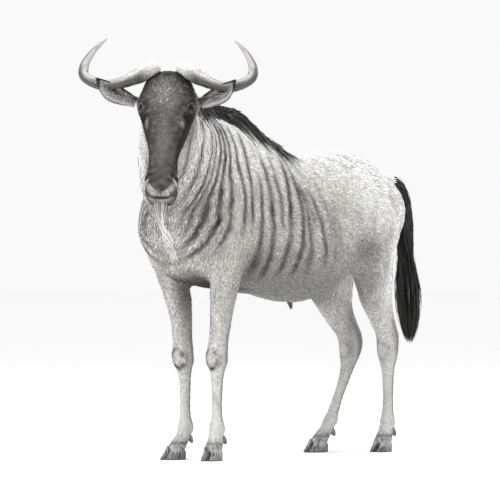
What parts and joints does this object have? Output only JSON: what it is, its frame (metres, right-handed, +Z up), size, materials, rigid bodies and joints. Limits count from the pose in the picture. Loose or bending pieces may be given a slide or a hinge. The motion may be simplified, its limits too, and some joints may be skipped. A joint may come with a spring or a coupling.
{
  "type": "wildebeest",
  "caption": "Standing horned antelope with its head turned to its left: striped neck, dark face, upswept horns, mane, beard and tufted tail.",
  "frame": {"origin": "middle of the outline seen from above, at the level of the soles", "axes": "+X to the animal's left, +Y towards its tail, +Z up"},
  "size_m": [0.6883, 1.9917, 1.6632],
  "materials": {
    "hide": "short smooth coat, dark bands on the neck and shoulders",
    "face": "short dark coat",
    "dark_hair": "long coarse black hair",
    "pale_hair": "long pale hair with darker streaks",
    "horn": "rough at the base, smooth to the tip",
    "hoof": "smooth dark horn",
    "eye": "wet and glossy"
  },
  "bodies": {
    "root": {"beard": "pale_hair", "ear_left": "hide", "ear_right": "hide", "eye_left": "eye", "eye_right": "eye", "foreleg_left": "hide", "foreleg_left_dewclaw_inner": "hoof", "foreleg_left_dewclaw_outer": "hoof", "foreleg_left_hoof_inner": "hoof", "foreleg_left_hoof_outer": "hoof", "foreleg_left_shank": "hide", "foreleg_right": "hide", "foreleg_right_dewclaw_inner": "hoof", "foreleg_right_dewclaw_outer": "hoof", "foreleg_right_hoof_inner": "hoof", "foreleg_right_hoof_outer": "hoof", "foreleg_right_shank": "hide", "head": "face", "hindleg_left": "hide", "hindleg_left_dewclaw_inner": "hoof", "hindleg_left_dewclaw_outer": "hoof", "hindleg_left_hoof_inner": "hoof", "hindleg_left_hoof_outer": "hoof", "hindleg_left_shank": "hide", "hindleg_right": "hide", "hindleg_right_dewclaw_inner": "hoof", "hindleg_right_dewclaw_outer": "hoof", "hindleg_right_hoof_inner": "hoof", "hindleg_right_hoof_outer": "hoof", "hindleg_right_shank": "hide", "horn_left": "horn", "horn_right": "horn", "mane": "dark_hair", "neck": "hide", "sheath": "dark_hair", "tail": "hide", "tail_tuft": "dark_hair", "torso": "hide"}
  },
  "joints": []
}
